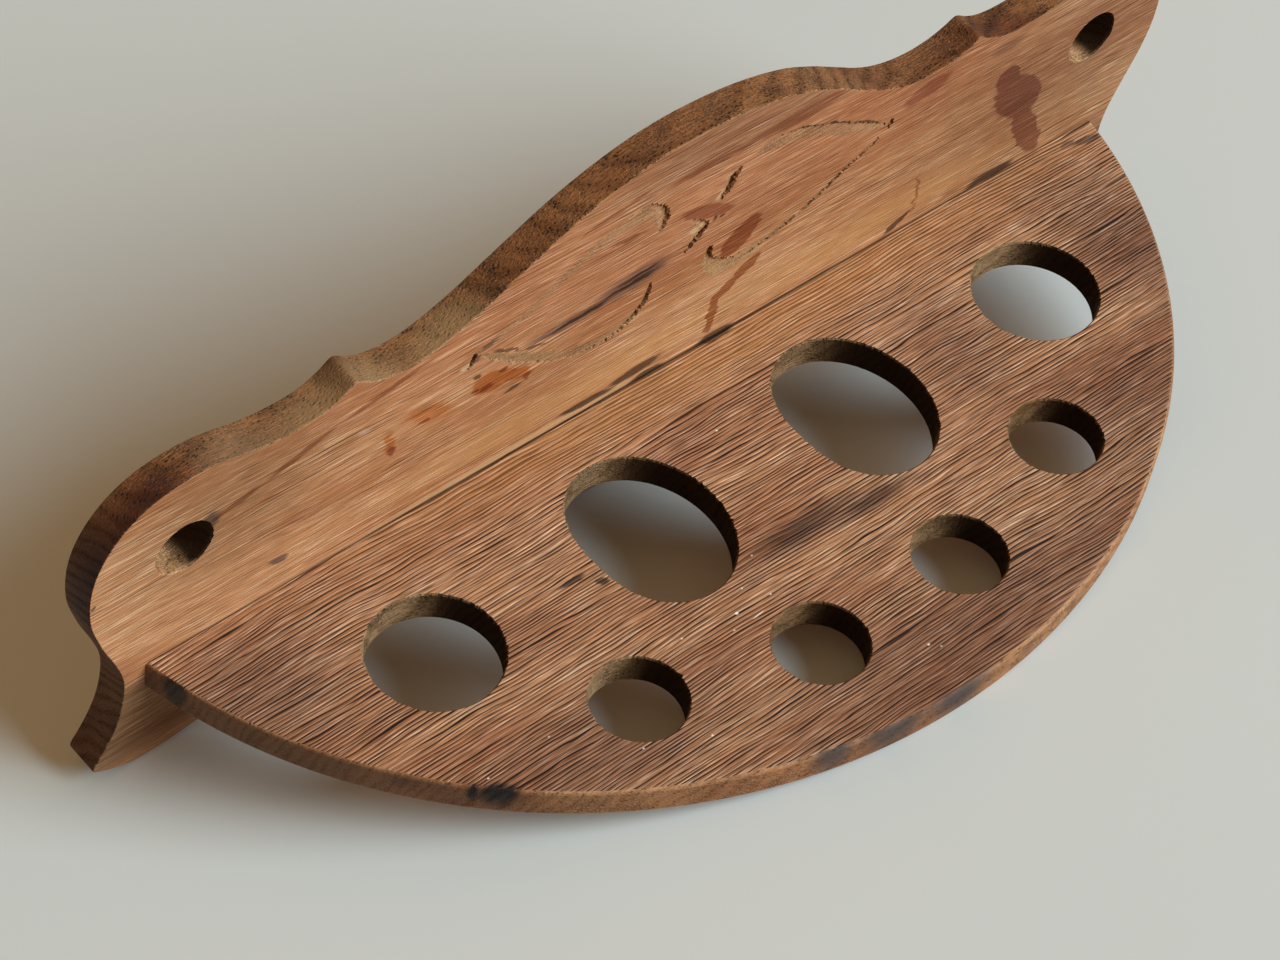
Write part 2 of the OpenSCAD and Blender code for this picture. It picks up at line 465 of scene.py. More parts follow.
    def _tearing_and_shading(self, tree: Tree, colour: Socket, point: Socket) -> Socket:
        """Darkens the wood where the tool tore it and where shade is painted, and speckles it with pits.

        Args:
            tree: The material's node tree.
            colour: The colour so far.
            point: The place in mm.

        Returns:
            The colour.
        """
        if self.torn is not TornOrShaded.NOWHERE:
            # Torn end grain is the wood's own; on the shady side the darkening is painted shade, and on
            # steep carved walls it is torn fibres with painted shade where the groove is deepest.
            normal = add_node(tree, "NewGeometry", out="Normal")
            facing = add_node(tree, "SeparateXYZ", {0: normal}, "Y" if self.torn is TornOrShaded.STEEP else "X")
            if self.torn is not TornOrShaded.SHADY_SIDE:
                facing = add_node(tree, "Math", {0: facing}, operation="ABSOLUTE")
            inputs = {0: facing, 1: self.torn_or_shaded_from[0], 2: self.torn_or_shaded_from[1], 4: self.torn_or_shaded_share}
            torn = add_node(tree, "MapRange", inputs, **SMOOTH)
            if self.torn is TornOrShaded.STEEP:
                # The deeper in a carved line, the darker: crumbled fibres, and painted shade deep in the
                # groove.
                depth = add_node(tree, "SeparateXYZ", {0: point}, self.lay.value)
                inputs = {0: depth, 1: self.face_at + self.crumb_and_shade_depths[0], 2: self.face_at + self.crumb_and_shade_depths[1]}
                depth = add_node(tree, "MapRange", inputs)
                crumb_and_shade = add_node(tree, "TexNoise", {"Vector": point, "Scale": CRUMBS_PER_MM, "Detail": 2.0})
                crumb_and_shade = add_node(tree, "Math", {0: depth, 1: 0.16, 2: crumb_and_shade}, operation="MULTIPLY_ADD")
                inputs = {0: crumb_and_shade, 1: 0.52, 2: 0.6, 3: 0.12}
                crumb_and_shade = add_node(tree, "MapRange", inputs, **SMOOTH)
                torn = add_node(tree, "Math", {0: torn, 1: crumb_and_shade}, operation="MULTIPLY")
            inputs = {0: torn, UNDER: colour, OVER: linear(self.torn_or_shaded_colour)}
            colour = add_node(tree, "Mix", inputs, **COLOUR_MIX)
        if self.speckle:
            patch = add_node(tree, "TexNoise", {"Vector": point, "Scale": PATCHES_PER_MM, "Detail": 1.0})
            pit = add_node(tree, "TexNoise", {"Vector": point, "Scale": PITS_PER_MM, "Detail": 2.0})
            pit = add_node(tree, "Math", {0: patch, 1: 0.5, 2: pit}, operation="MULTIPLY_ADD")
            inputs = {0: pit, 1: 0.75, 2: 0.86, 4: self.speckle}
            pit = add_node(tree, "MapRange", inputs, **SMOOTH)
            inputs = {0: pit, UNDER: colour, OVER: linear(self.tones.pore)}
            colour = add_node(tree, "Mix", inputs, **COLOUR_MIX)
        return colour

    def _staining_and_painted_light(self, tree: Tree, colour: Socket, point: Socket) -> Socket:
        """Lays the stains, and the painted light and shade, over the wood.

        Args:
            tree: The material's node tree.
            colour: The colour so far.
            point: The place in mm.

        Returns:
            The colour.
        """
        place = add_node(tree, "VectorMath", {0: point, 1: self._scale(RAGGED_SIZE)}, operation="MULTIPLY")
        ragged = add_node(tree, "TexNoise", {"Vector": place, "Scale": 1.0, "Detail": 3.0}, 1)
        reach = self._spread(*RAGGED_REACH)
        back = tuple(-value / 2 for value in reach)
        shift = add_node(tree, "VectorMath", {0: ragged, 1: reach, 2: back}, operation="MULTIPLY_ADD")
        rim = add_node(tree, "VectorMath", {0: point, 1: shift}, operation="ADD")
        for stain in self.stains:
            nearest = None
            for x, off, half_length, half_width, turn_deg in stain.spots:
                turn = math.radians(turn_deg)
                inputs = {
                    "Vector": rim if stain.ragged else point,
                    "Location": self._spread(x, self.face_at, self.joint_at + off),
                    "Rotation": (0.0, -turn, 0.0) if self.lay is Lay.UPRIGHT else (0.0, 0.0, turn),
                    "Scale": self._spread(half_length, stain.depth, half_width),
                }
                local = add_node(tree, "Mapping", inputs, vector_type="TEXTURE")
                away = add_node(tree, "VectorMath", {0: local}, "Value", operation="LENGTH")
                if nearest:
                    away = add_node(tree, "Math", {0: nearest, 1: away, 2: MELT}, operation="SMOOTH_MIN")
                nearest = away
            inputs = {0: nearest, 1: 1 - stain.soft, 2: 1.0, 3: stain.strength, 4: 0.0}
            share = add_node(tree, "MapRange", inputs, **SMOOTH)
            inputs = {0: share, UNDER: colour, OVER: linear(stain.tint)}
            blend = "MIX" if stain.covers else "MULTIPLY"
            colour = add_node(tree, "Mix", inputs, **COLOUR_MIX, blend_type=blend)
        return colour


@dataclass(frozen=True)
class ZincFinish:
    """Zinc-plated steel: a dull grey metal with faint blotches, brighter where the plating is whole."""

    name: str = "zinc_plated_steel"
    bright: str = "#b4b0a6"
    dull: str = "#86837b"
    blotch: float = 1.2
    roughness: float = 0.42

    def material(self) -> bpy.types.Material:
        """Builds the finish as a node material.

        Returns:
            The material.
        """
        material, tree = empty_material(self.name)
        place = add_node(tree, "TexCoord", out="Object")
        inputs = {"Vector": place, "Scale": 1 / (self.blotch * MM), "Detail": 3.0}
        blotch = add_node(tree, "TexNoise", inputs)
        inputs = {0: blotch, UNDER: linear(self.dull), OVER: linear(self.bright)}
        colour = add_node(tree, "Mix", inputs, **COLOUR_MIX)
        rough = add_node(tree, "MapRange", {0: blotch, 3: self.roughness + 0.12, 4: self.roughness - 0.08})
        inputs = {"Base Color": colour, "Metallic": 1.0, "Roughness": rough}
        add_node(tree, "OutputMaterial", {"Surface": add_node(tree, "BsdfPrincipled", inputs)})
        return material


def mesh_object(
    name: str,
    shape: bmesh.types.BMesh,
    materials: Sequence[bpy.types.Material],
    collection: bpy.types.Collection | None = None,
) -> bpy.types.Object:
    """Makes an object of a shape that is drawn in mm, and frees the shape.

    Args:
        name: The object's name.
        shape: The shape in mm.
        materials: The object's materials, in the order of Surface.
        collection: Where the object goes, or None for the scene's own collection.

    Returns:
        The object, at the origin.
    """
    bmesh.ops.recalc_face_normals(shape, faces=shape.faces)
    bmesh.ops.scale(shape, vec=Vector((MM, MM, MM)), verts=shape.verts)
    mesh = bpy.data.meshes.new(name)
    shape.to_mesh(mesh)
    shape.free()
    for material in materials:
        mesh.materials.append(material)
    piece = bpy.data.objects.new(name, mesh)
    (collection or bpy.context.scene.collection).objects.link(piece)
    return piece


def cut_away(piece: bpy.types.Object, cutters: Iterable[bmesh.types.BMesh]) -> None:
    """Cuts shapes out of a piece, for good.

    Args:
        piece: The piece.
        cutters: Closed shapes in mm. Each face's material index is a Surface.
    """
    tools = bpy.data.collections.new("cutters")
    for number, shape in enumerate(cutters):
        mesh_object(f"cutter_{number}", shape, piece.data.materials[:], tools)
    change = piece.modifiers.new("cut_away", "BOOLEAN")
    change.operand_type = "COLLECTION"
    change.collection = tools
    change.operation = "DIFFERENCE"
    change.solver = "EXACT"
    change.material_mode = "INDEX"
    whole = bpy.data.meshes.new_from_object(piece.evaluated_get(bpy.context.evaluated_depsgraph_get()))
    piece.modifiers.clear()
    old = piece.data
    piece.data = whole
    bpy.data.meshes.remove(old)
    whole.name = piece.name
    bpy.data.batch_remove([tool.data for tool in tools.objects])
    bpy.data.collections.remove(tools)


def settle(piece: bpy.types.Object, node: str, sharp_deg: float = 38.0) -> None:
    """Gives a finished board its shading, its body and its place in the frame.

    Args:
        piece: The board.
        node: The CAD node that it stands for.
        sharp_deg: The angle past which an edge stays sharp.
    """
    piece.data.shade_smooth()
    piece.data.set_sharp_from_angle(angle=math.radians(sharp_deg))
    even = piece.modifiers.new("even_shading", "WEIGHTED_NORMAL")
    even.keep_sharp = True
    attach(piece, "root")
    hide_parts(node)
    log.info("%s: %d faces", piece.name, len(piece.data.polygons))


def plate(outline: Sequence[Triple], along: Triple) -> bmesh.types.BMesh:
    """Makes a plate from an outline.

    Args:
        outline: The corners of the outline, in order, in mm.
        along: The step from this face of the plate to the other, in mm.

    Returns:
        The plate.
    """
    shape = bmesh.new()
    base = shape.faces.new([shape.verts.new(corner) for corner in outline])
    made = bmesh.ops.extrude_face_region(shape, geom=[base])["geom"]
    corners = [part for part in made if isinstance(part, bmesh.types.BMVert)]
    bmesh.ops.translate(shape, vec=Vector(along), verts=corners)
    bmesh.ops.recalc_face_normals(shape, faces=shape.faces)
    return shape


def mark(shape: bmesh.types.BMesh, lay: Lay) -> None:
    """Marks the sides of a plate as its faces, its worn rims or its edges, by how they slant; the shelf's
    rims are also painted paler as a highlight.

    Args:
        shape: The plate.
        lay: How the board lies.
    """
    face_from = 0.95
    rim_from = 0.2
    for side in shape.faces:
        slant = abs(side.normal["XYZ".index(lay.value)])
        if slant > face_from:
            side.material_index = Surface.FACE
        else:
            side.material_index = Surface.RIM if slant > rim_from else Surface.EDGE


def ease(shape: bmesh.types.BMesh, edges: Iterable[bmesh.types.BMEdge], radius: float) -> None:
    """Rounds some edges of a shape over.

    Args:
        shape: The shape.
        edges: The edges.
        radius: How far back they are rounded, in mm.
    """
    bmesh.ops.bevel(
        shape,
        geom=list(edges),
        offset=radius,
        offset_type="OFFSET",
        segments=3,
        profile=0.5,
        affect="EDGES",
        clamp_overlap=True,
        material=-1,
    )


def sweep(shape: bmesh.types.BMesh, start: bmesh.types.BMFace, moves: Iterable[Matrix]) -> None:
    """Extrudes a face step by step into a closed bar.

    Args:
        shape: The shape that holds the face.
        start: The face, which stays as the bar's first end.
        moves: How the new end moves at each step.
    """
    end = start
    for move in moves:
        made = bmesh.ops.extrude_face_region(shape, geom=[end])["geom"]
        if end is not start:
            bmesh.ops.delete(shape, geom=[end], context="FACES_ONLY")
        end = next(part for part in made if isinstance(part, bmesh.types.BMFace))
        bmesh.ops.transform(shape, matrix=move, verts=end.verts)


@dataclass(frozen=True)
class Bore:
    """A hole through a board, with worn rims and fibres torn out along the grain. Lengths are in mm.

    Attributes:
        at: Its centre: along the rack, and along the other direction of the board's face.
        half: Its half width along the rack and its half length across it.
        ease: How far its rims are worn back.
        tear: How deep its rims are torn.
        flat: How much flatter its left side was cut.
        sides: The number of its sides.
    """

    at: Pair
    half: Pair
    ease: float = 0.4
    tear: float = 0.9
    flat: float = 0.0
    sides: int = 480

    def cutter(self, low: float, high: float, lay: Lay) -> bmesh.types.BMesh:
        """Makes the shape that cuts the hole.

        Args:
            low: The board's hidden face, along the way out of its show face.
            high: Its show face, where the rim is torn.
            lay: How the board lies.

        Returns:
            The cutting shape.
        """
        over = 1.0
        rings = (
            (low - over, self.ease + over, 0.1),
            (low + self.ease, 0.0, 0.05),
            (high - 3 * self.ease, 0.0, 0.05),
            (high - self.ease, 0.0, 0.8),
            (high + over, self.ease + over, 1.0),
        )
        shape = bmesh.new()
        bmesh.ops.create_circle(shape, cap_ends=True, segments=self.sides, radius=1.0)
        sweep(shape, shape.faces[:][0], [Matrix.Translation((0, 0, 1))] * (len(rings) - 1))
        for corner in shape.verts:
            corner.co = self._rim_point(corner.co, *rings[round(corner.co.z)])
        for side in shape.faces:
            side.material_index = Surface.BORE
        if lay is Lay.UPRIGHT:
            stand_up = Matrix(((1, 0, 0), (0, 0, -1), (0, 1, 0))).to_4x4()
            bmesh.ops.transform(shape, matrix=stand_up, verts=shape.verts)
        return shape

    def _rim_point(self, unit: Vector, level: float, wider: float, torn: float) -> Vector:
        """Moves a point of a unit circle out to its ring of the hole.

        Args:
            unit: The point.
            level: The ring's place along the hole.
            wider: How much wider the ring is than the hole.
            torn: The ring's share of the tearing.

        Returns:
            The point's place.
        """
        spot = Vector((*[self.at[i] + self.half[i] * unit[i] for i in (0, 1)], 0.0))
        spike = max(0.0, 1 - 4 * abs(noise.noise(spot * 1.7)))
        splinter = spike * max(0.0, 0.5 + noise.noise(spot * 0.5))
        grow = wider - self.flat * max(0.0, -unit.x) ** 6
        place = spot + grow * Vector((unit.x, unit.y, 0.0))
        place.x += torn * self.tear * splinter * unit.x
        place.z = level
        return place


@dataclass(frozen=True)
class ScrewHole:
    """A countersunk hole from the wall face through the board and into the shelf. Lengths are in mm."""

    at: Pair
    head_r: float = 3.6
    shank_r: float = 1.85
    sink: float = 0.4
    head_h: float = 1.75
    shank_end: float = 26.4
    point_end: float = 30.5
    sides: int = 32

    def cutter(self) -> bmesh.types.BMesh:
        """Makes the shape that cuts the hole, turned about the screw's own axis.

        Returns:
            The cutting shape.
        """
        over = 1.0
        profile = (
            (0.0, over),
            (self.head_r, over),
            (self.head_r, -self.sink),
            (self.shank_r, -self.sink - self.head_h),
            (self.shank_r, -self.shank_end),
            (0.0, -self.point_end),
        )
        shape = bmesh.new()
        corners = [shape.verts.new((radius, depth, 0.0)) for radius, depth in profile]
        wire = [shape.edges.new(pair) for pair in zip(corners, corners[1:])]
        bmesh.ops.spin(
            shape,
            geom=corners + wire,
            cent=Vector(),
            axis=Vector((0, 1, 0)),
            angle=2 * math.pi,
            steps=self.sides,
            use_merge=True,
        )
        bmesh.ops.remove_doubles(shape, verts=shape.verts, dist=0.001)
        bmesh.ops.translate(shape, vec=Vector((self.at[0], 0.0, self.at[1])), verts=shape.verts)
        for side in shape.faces:
            side.material_index = Surface.BORE
        return shape


@dataclass(frozen=True)
class Gouge:
    """A line gouged into the board's face, with one steep wall and one long slope. Lengths are in mm.

    Attributes:
        line: Points on it, each along the rack and up from the joint, with its width and depth there.
        steep: 1 where the steep wall is on the left of the line as it goes, -1 where it is on the right.
        ragged: How far the tool slipped to either side.
    """

    line: tuple[tuple[float, float, float, float], ...]
    steep: int
    ragged: float = 0.3

    def cutter(self, face_y: float, joint_z: float) -> bmesh.types.BMesh:
        """Makes the shape that cuts the line.

        Args:
            face_y: Where the board's face is.
            joint_z: Where the joint of the boards is.

        Returns:
            The cutting shape.
        """
        frames = self._frames(face_y, joint_z)
        section = ((0.53, 0.3), (0.4, -1.0), (0.25, -0.92), (-0.12, -0.45), (-0.75, 0.3))
        shape = bmesh.new()
        corners = [shape.verts.new(frames[0] @ Vector((*corner, 0.0))) for corner in section]
        front = shape.faces.new(corners)
        sweep(shape, front, [new @ old.inverted() for old, new in zip(frames, frames[1:])])
        for side in shape.faces:
            side.material_index = Surface.CARVED
        return shape

    def _frames(self, face_y: float, joint_z: float) -> list[Matrix]:
        """Finds the places of the gouge's section along the line.

        Args:
            face_y: Where the board's face is.
            joint_z: Where the joint of the boards is.

        Returns:
            For each place a matrix, which gives the section its width and depth too.
        """
        steps = 18
        noise_layer = 7.0
        knots = [Vector(point) for point in self.line]
        knots = [2 * knots[0] - knots[1], *knots, 2 * knots[-1] - knots[-2]]
        frames = []
        for a, b, c, d in zip(knots, knots[1:], knots[2:], knots[3:]):
            bend = 2 * a - 5 * b + 4 * c - d
            twist = 3 * b - 3 * c + d - a
            for t in [step / steps for step in range(steps)]:
                spot = b + 0.5 * t * (c - a + t * (bend + t * twist))
                way = 0.5 * (c - a) + t * bend + 1.5 * t * t * twist
                ahead = Vector((way[0], 0.0, way[1])).normalized()
                side = self.steep * Vector((-ahead.z, 0.0, ahead.x))
                grip = Vector((spot[0], spot[1], noise_layer))
                width = spot[2] * (1 + 0.5 * noise.noise(grip * 1.3))
                place = Matrix((side * width, Vector((0.0, -spot[3], 0.0)), ahead)).transposed().to_4x4()
                slip = self.ragged * (noise.noise(grip * 0.6) + 0.8 * noise.noise(grip * 1.9))
                place.translation = Vector((spot[0], face_y, joint_z + spot[1])) + side * slip
                frames.append(place)
        return frames


# Tints that old spills leave in wood, as colours to multiply it by.
BROWN = "#c4aa98"
RED_BROWN = "#caa8a2"
BLACK = "#77706c"
GREY = "#a89f9c"
GREY_PURPLE = "#b5aab0"
INK = "#8289a8"
RESIN = "#e6b67c"
SOOT = "#4a4440"
PINK = "#ecdad6"

BOARD_STAINS_AND_PAINTED_LIGHT = (
    # Casts of whole stretches: pink and grey above, orange along the joint; on the feet, grey painted shade
    # under the shelf and a pale tan film of painted light bounced up from the floor.
    Stain(PINK, ((0, 58, 175, 30, 0),), 0.9, 0.7),
    Stain(GREY_PURPLE, ((20, 82, 75, 16, 0), (116, 54.5, 9, 3, 0)), 0.6, 0.7),
    Stain("#c2bcb4", ((145, 28, 95, 62, 0), (-140, 45, 50, 40, 0)), 0.8, 0.9),
    # Painted shade: the face under the shelf, tinted grey.
    Stain("#a9aeac", ((0, -20, 320, 22, 0),), 0.92, 0.3),
    # Painted light: a pale tan film low on the feet, for light bounced up from the floor.
    Stain("#b08c68", ((0, -40, 320, 16, 0),), 0.25, 0.4, covers=True),
    Stain("#c48c54", ((-25, 11, 95, 9.5, 0), (75, 10.5, 70, 9.5, 0)), 0.42, 0.8, covers=True),
    Stain("#d0a77a", ((-48, 1.6, 62, 1.9, 0.5),), 0.6, 0.5, covers=True),
    # Brown streaks, and ink-blue spots with their dark cores.
    Stain(BROWN, ((-138, 43.4, 10, 1.5, 14), (-119, 48.6, 14, 1.6, 17), (-94, 54.3, 16, 1.5, 11)), 0.95),
    Stain(BROWN, ((38, 73.2, 18, 3.4, 0), (10, 73.5, 20, 1.7, 0), (-24, 74.4, 13, 1.0, 10)), 0.85, 0.35),
    Stain(BROWN, ((92, 12, 0.8, 9.5, 4), (-18, 61.6, 9, 0.9, -6)), 0.9, 0.4),
    Stain(INK, ((-145.5, 42, 3.5, 4.5, 0), (-123.6, 11.3, 4.4, 1.7, -15)), 0.85),
    Stain(INK, ((-14, 43.6, 17, 5.2, 4), (-34, 41.4, 20, 2.6, 1)), 0.72, 0.6),
    Stain(
        "#6a605d",
        ((-12, 44.9, 12, 0.7, 4), (-15, 43.0, 14, 0.9, 4), (-9, 42.6, 8, 0.5, 4), (-31, 41.2, 14, 1.0, 2)),
        strength=0.9,
        soft=0.6,
    ),
    # Drops of resin with darker cores, and specks of soot.
    Stain(RESIN, ((-59.5, 35, 6.5, 4.4, -25), (-52, 33.2, 8.5, 2.4, -28)), 0.95, 0.25),
    Stain(RESIN, ((-79, 36.3, 12, 4.2, -25), (-91, 33.5, 2.2, 6.5, 10)), 0.85, 0.6),
    Stain(RED_BROWN, ((-90.3, 29.5, 1.4, 2.4, 0), (-47, 29, 1.6, 1.8, 0), (-60, 33.5, 2.6, 1.6, 0)), 0.95),
    Stain("#9c6648", ((-56, 37.2, 1.6, 0.9, 0), (-64, 34.5, 1.4, 0.8, 0), (-80, 34.2, 2.6, 0.8, 0)), 0.8),
    Stain(SOOT, ((-51.5, 27.3, 3.8, 0.9, 6), (-64.5, 40, 2.2, 1.1, -10), (-178.4, 33.6, 0.8, 1, 0)), 0.8),
    # Burns along the joint.
    Stain(
        BLACK,
        (
            (-7.5, 4.8, 11.5, 2.0, 3), (-3, 0.9, 7, 1.7, 0), (-24, 3.4, 12, 1.5, -4), (21, 0.6, 8, 2, 0),
            (123, 0.8, 11, 3.2, 0), (87, 3.6, 6.5, 1.6, 25),
        ),
        strength=0.95,
        soft=0.4,
    ),
    # Brown and red-brown drips.
    Stain(
        "#c09676",
        (
            (28, 22.3, 6, 2.4, 31), (21.5, 18.2, 5.5, 2.2, 32), (18, 10.3, 2.0, 8, 0),
            (23.6, 37.4, 8.2, 4.8, 37),
        ),
        strength=0.95,
        soft=0.2,
    ),
    Stain(RED_BROWN, ((9.5, 55, 12, 2.7, -24), (86, 54.8, 10, 3.4, 8)), 0.85, 0.3),
    Stain(
        "#bc9a94",
        ((119.5, 40, 5, 5, 0), (126, 30, 12.5, 7.5, -40), (134, 12, 13.5, 4.6, -60)),
        strength=0.95,
        soft=0.15,
    ),
    # A pale scuff, dark and pale marks along the carved lines, and thin dark lines along the upper edges of
    # two of them.
    Stain("#cfae98", ((-99.5, 43.5, 4.0, 1.3, -13),), 0.45, 0.8, covers=True),
    Stain(GREY, ((-61.5, 50.2, 5.5, 1.5, 15), (-65.5, 47.5, 2, 2, 0)), 0.9, 0.7),
    Stain(
        BLACK,
        ((64.5, 55.2, 7.5, 0.8, -33), (53, 61.6, 7.5, 0.8, -27), (41, 66.9, 7, 0.7, -20)),
        strength=0.85,
        soft=0.6,
    ),
    Stain(BLACK, ((-55, 44.0, 8, 0.8, -31), (-46, 39.4, 5, 0.8, -15)), 0.8, 0.6),
    Stain(SOOT, ((12.2, 50.7, 1.6, 0.9, 50), (14.6, 50.2, 1.4, 0.5, 0)), 0.85, 0.6),
    Stain(
        "#caa47c",
        ((13.0, 59.0, 2.8, 1.6, 35), (5.4, 50.2, 2.4, 1.5, 0), (-68.6, 46.4, 2, 1.3, 0)),
        strength=0.8,
        soft=0.6,
        covers=True,
    ),
    # The dark line of the joint.
    Stain(SOOT, ((0, 0, 172, 0.9, 0),), 0.85, 0.7, ragged=False),
)

# Paler and darker stretches of the back board's sawn edge.
EDGE_WEAR = (
    Stain("#b08c62", ((-106, 60, 28, 10, 0), (-74, 62, 18, 12, 0)), 0.55, 0.8, depth=14.0, covers=True),
    Stain(BROWN, ((-166, 45, 26, 30, 0), (112, 60, 20, 10, 0)), 0.95, 0.7, depth=14.0),
    Stain("#856a4e", ((-136, 62, 18, 10, 0),), 0.5, 0.8, depth=14.0, covers=True),
    Stain("#a58c7c", ((-180, 36, 16, 24, 0), (-160, 60, 14, 10, 0)), 0.9, 0.8, depth=14.0),
)

# Burns on the shelf's front edge, and the dark corner at its left end.
EDGE_BURNS = (
    Stain(
        "#37302f",
        ((-118, -79, 9, 3.6, -33), (-122, -75, 2.5, 2.5, 0), (-129, -70, 11, 2, -38)),
        strength=0.99,
        soft=0.6,
        depth=10.0,
    ),
    Stain(
        "#3d3634",
        ((-5, -122, 15, 7, 0), (-26, -121, 15, 7, 0), (-43, -117, 9, 6, 0)),
        strength=0.85,
        soft=0.75,
        depth=14.0,
        covers=True,
    ),
    Stain(SOOT, ((-161, -9, 3, 5, 0),), 0.9, 0.5, depth=12.0),
)

# The shelf's burns, dark streaks, ink, casts of whole stretches, joint line and specks of pale dust.
SHELF_STAINS = (
    EDGE_BURNS[0],
    Stain(SOOT, ((-56, -45.3, 2.4, 1.8, 0), (-62.5, -41, 5.0, 0.9, 0)), 0.85),
    Stain("#8f8684", ((-2, -62, 28, 6.0, 0), (18, -65.5, 22, 4.2, 0)), 0.95, 0.8),
    Stain(INK, ((156.5, -5.5, 6.0, 1.8, -10), (150, -3.5, 3.0, 0.9, 0)), 0.9),
    Stain("#b8783e", ((20, -4, 190, 15, 0),), 0.45, 0.8, covers=True),
    Stain(
        GREY_PURPLE,
        ((20, -112, 120, 30, 0), (-146, -24, 36, 30, 0), (140, -40, 30, 45, 0), (-88, -86, 54, 27, 0)),
        strength=0.78,
        soft=0.9,
    ),
    Stain(GREY_PURPLE, ((100, -84, 55, 36, 0), (71, -40, 22, 32, 0)), 0.62, 0.95),
    Stain(BLACK, ((21, -0.5, 7, 1.2, 0),)),
    Stain(SOOT, ((0, 0, 400, 0.6, 0),), 0.9, 0.7, ragged=False),
    Stain(
        "#f3e6d8",
        (
            (-35.3, -72.5, 0.6, 0.5, 0), (-29, -67.4, 0.35, 0.3, 0), (-24.3, -73, 0.35, 0.3, 0),
            (-20, -61, 0.35, 0.3, 0), (-39.3, -76.2, 0.4, 0.3, 0), (-51.7, -70.4, 0.4, 0.3, 0),
            (-2.3, -108, 0.45, 0.4, 0), (0, -110.2, 0.4, 0.3, 0), (-97.4, -73.8, 0.4, 0.3, 0),
            (-64.8, -96.9, 0.4, 0.35, 0), (-117, -74.7, 0.4, 0.3, 0), (-81, -90, 0.4, 0.3, 0),
            (-0.2, -25, 0.4, 0.3, 0), (-31, -76, 2.6, 0.16, 6),
        ),
        strength=0.9,
        soft=0.4,
        covers=True,
        ragged=False,
    ),
)

# Where the shelf's top and the back board's show face lie, in mm.
SHELF_TOP_Z = -37.5
BOARD_FACE_Y = -10.0

# Oak planed by hand and darkened by kitchen air: warm tan with fine pale lines, painted highlights along the
# raised grain, and the marks of spills.
BOARD_FACE = OakFinish(
    name="oak_hand_planed",
    lay=Lay.UPRIGHT,
    tones=Tones("#e6b78e", "#bb8056", "#784a2c", "#643b22", "#e4d2c6"),
    figure=Figure(
        gap=1.15, length=60.0, steps=(-0.08, 0.25, 0.56, 0.75), glint=0.95, fibre=0.2, pore_length=10.0,
        pores=0.42, ridge=0.3,
    ),
    relief=0.15,
    face_at=BOARD_FACE_Y,
    joint_at=SHELF_TOP_Z,
    stains=BOARD_STAINS_AND_PAINTED_LIGHT,
)

# The same oak where the fretsaw left it: darker, dull, and dotted by the cut ends of its pores.
BOARD_EDGE = replace(
    BOARD_FACE,
    name="oak_fretsawn_edge",
    tones=Tones("#b47a4d", "#98633b", "#835430", "#2b170b", "#dcc8b6"),
    figure=Figure(
        gap=3.4, length=50.0, cut=Cut.ACROSS, fibre=0.34, pore_gap=0.9,
        pore_length=1.8, pores=0.95, ridge=0.1,
    ),
    relief=0.45,
    roughness=0.7,
    torn=TornOrShaded.END_GRAIN,
    torn_or_shaded_colour="#3c2512",
    torn_or_shaded_share=0.75,
    speckle=0.6,
    stains=EDGE_WEAR,
)

# The rims of that edge, where small chips have come away between worn stretches.
BOARD_RIM = replace(
    BOARD_EDGE,
    name="oak_chipped_arris",
    tones=Tones("#c99468", "#a87648", "#80522e", "#2b170b", "#dccabc"),
    speckle=0.9,
)

# The cuts of a gouge: plain dull tan wood on the slope, crumbled dark fibres on the steep wall, and painted
# shade where the line runs deepest.
BOARD_CARVED = replace(
    BOARD_FACE,
    name="oak_gouged_line",
    tones=Tones("#c99f76", "#b78b62", "#94693f", "#5a3822", "#ead9cc"),
    relief=0.2,
    roughness=0.72,
    torn=TornOrShaded.STEEP,
    torn_or_shaded_from=(0.9, 0.55),
    torn_or_shaded_colour="#3f2716",
    torn_or_shaded_share=0.9,
    crumb_and_shade_depths=(0.5, 1.3),
    speckle=0.45,
)

# The wall of a hanging hole: rough, pale tan with dark pits in the light, and near black with painted shade
# on the walls that face -X, away from the light.
BOARD_BORE = replace(
    BOARD_EDGE,
    name="oak_drilled_wall",
    tones=Tones("#ecc094", "#d6a67c", "#b98c62", "#33200f", "#dacfc4"),
    figure=Figure(
        gap=2.6, length=30.0, cut=Cut.ACROSS, fibre=0.36, pore_gap=0.7,
        pore_length=2.0, pores=0.8, ridge=0.0,
    ),
    relief=0.3,
    shine=0.05,
    # Painted shade: near black on the walls that face -X, away from the light.
    torn=TornOrShaded.SHADY_SIDE,
    torn_or_shaded_from=(0.2, -0.45),
    torn_or_shaded_colour="#1c110a",
    torn_or_shaded_share=0.97,
    speckle=0.5,
)

# Oak scrubbed for years: the soft early wood has worn away, which leaves dark hollows between pale lines,
# with painted highlights on the ridges.
SHELF_FACE = OakFinish(
    name="oak_scrubbed_top",
    lay=Lay.FLAT,
    tones=Tones("#e0b28f", "#b77f58", "#321a10", "#321a10", "#e0d0c9"),
    figure=Figure(
        gap=1.1, length=60.0, steps=(0.13, 0.31, 0.52, 0.7), breaks=0.9, stray=1.5, glint=0.5, fibre=0.3,
        pore_length=12.0, pores=0.62, wave=2.4, ridge=0.46,
    ),
    relief=0.3,
    face_at=SHELF_TOP_Z,
    joint_at=BOARD_FACE_Y,
    stains=SHELF_STAINS,
)

